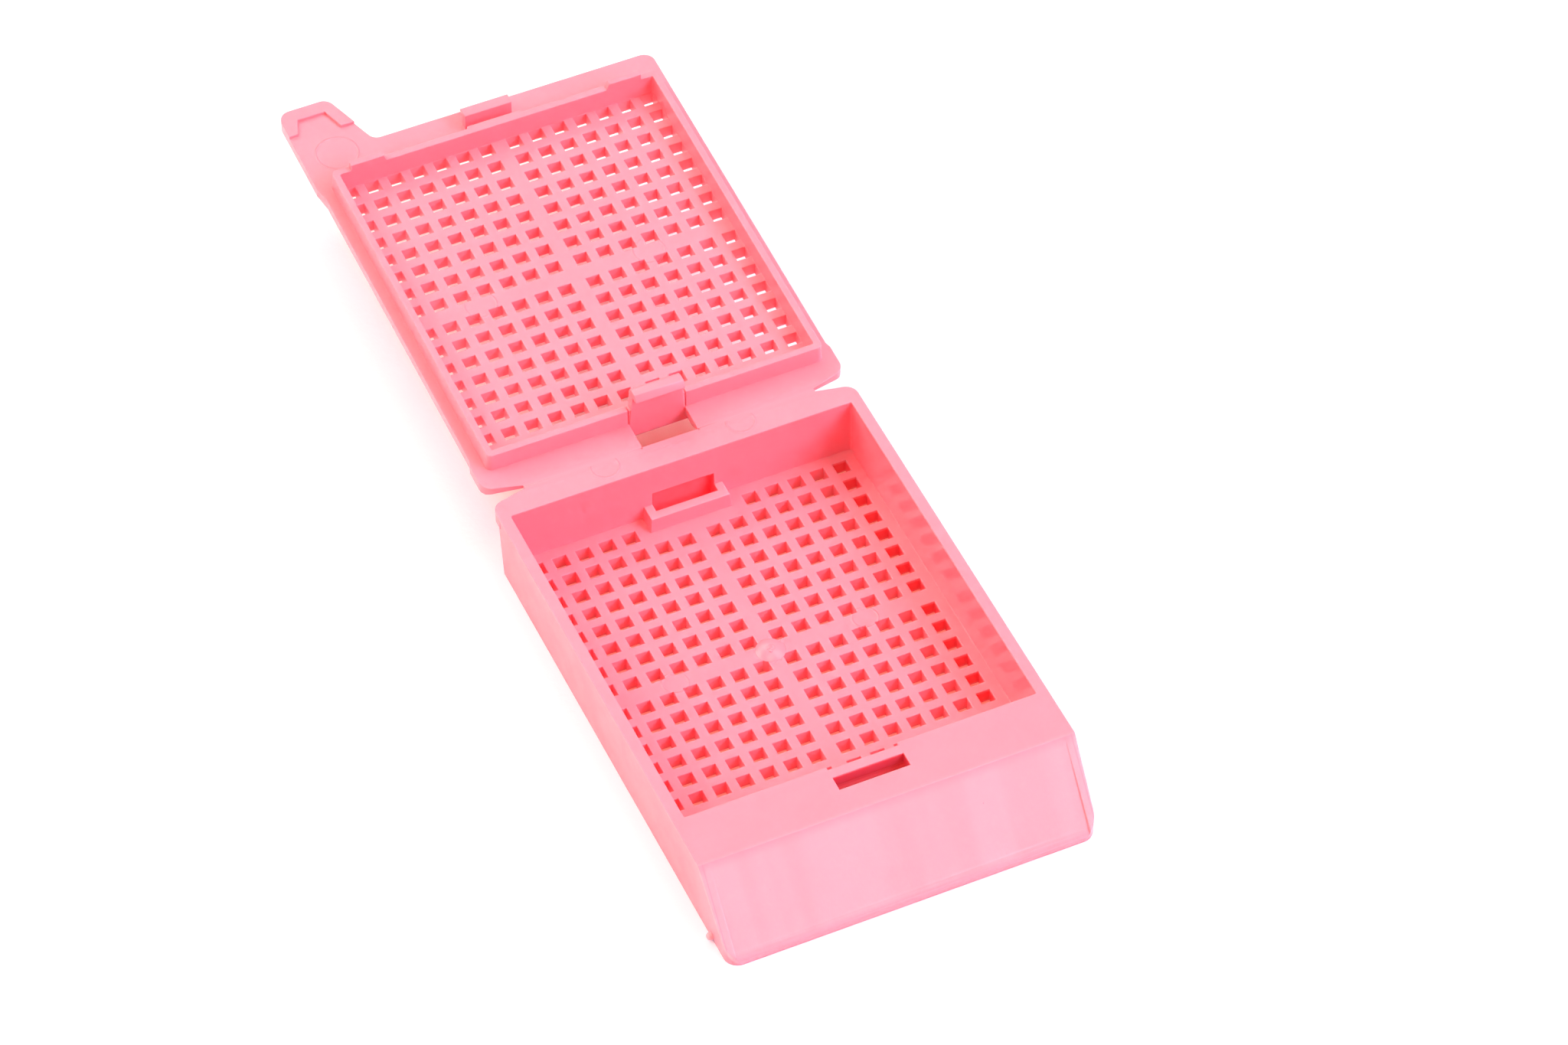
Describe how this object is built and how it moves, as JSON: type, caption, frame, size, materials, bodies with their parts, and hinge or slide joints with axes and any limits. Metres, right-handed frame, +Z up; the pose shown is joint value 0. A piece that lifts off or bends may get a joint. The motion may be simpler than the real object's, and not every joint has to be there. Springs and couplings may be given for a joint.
{
  "type": "tissue cassette",
  "caption": "Open histology tissue cassette: perforated tray with a sloping label end and a perforated snap lid on a living hinge.",
  "frame": {"origin": "middle of the tray's field of perforations, on the plane the tray stands on", "axes": "+X across the cassette, +Y from the label end towards the hinge and the open lid, +Z up out of the tray"},
  "size_m": [0.0286, 0.0824, 0.01],
  "materials": {
    "moulded_plastic": "satin"
  },
  "bodies": {
    "tray": {"tray": "moulded_plastic", "hinge_web_left": "moulded_plastic", "hinge_web_right": "moulded_plastic"},
    "lid": {"lid": "moulded_plastic"}
  },
  "joints": [
    {"name": "lid_hinge", "type": "hinge", "parent": "tray", "child": "lid", "pos_m": [0, 0.0175, 0.00625], "axis": [1, 0, 0], "range_deg": [-3.05, 176.95], "stiffness_Nm_per_rad": 0.01, "deforming": ["hinge_web_left", "hinge_web_right"]}
  ]
}
